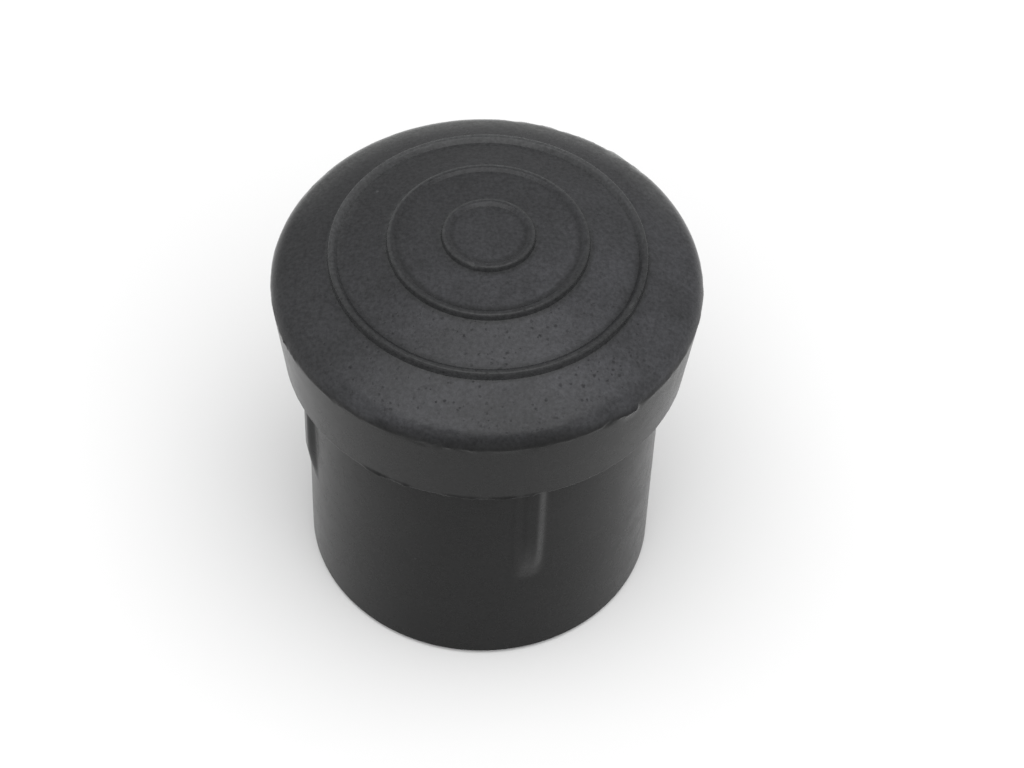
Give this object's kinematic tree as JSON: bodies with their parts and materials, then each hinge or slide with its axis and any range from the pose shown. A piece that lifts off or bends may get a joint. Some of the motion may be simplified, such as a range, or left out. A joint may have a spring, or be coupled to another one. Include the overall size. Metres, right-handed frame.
{
  "type": "tube end plug",
  "caption": "One-piece rubber plug with a stepped, ringed head that covers a round tube's end and a ribbed hollow stem that is pressed into its bore.",
  "frame": {"origin": "centre of the stem's open end, on which the plug stands", "axes": "+Z along the stem's axis, out through the ringed face; -Y is the front"},
  "size_m": [0.03, 0.03, 0.0323],
  "materials": {
    "rubber": "matt black moulded rubber with faint pits, a dull bloom and grey rubbed dust on its edges"
  },
  "bodies": {
    "root": {"plug": "rubber"}
  },
  "joints": []
}
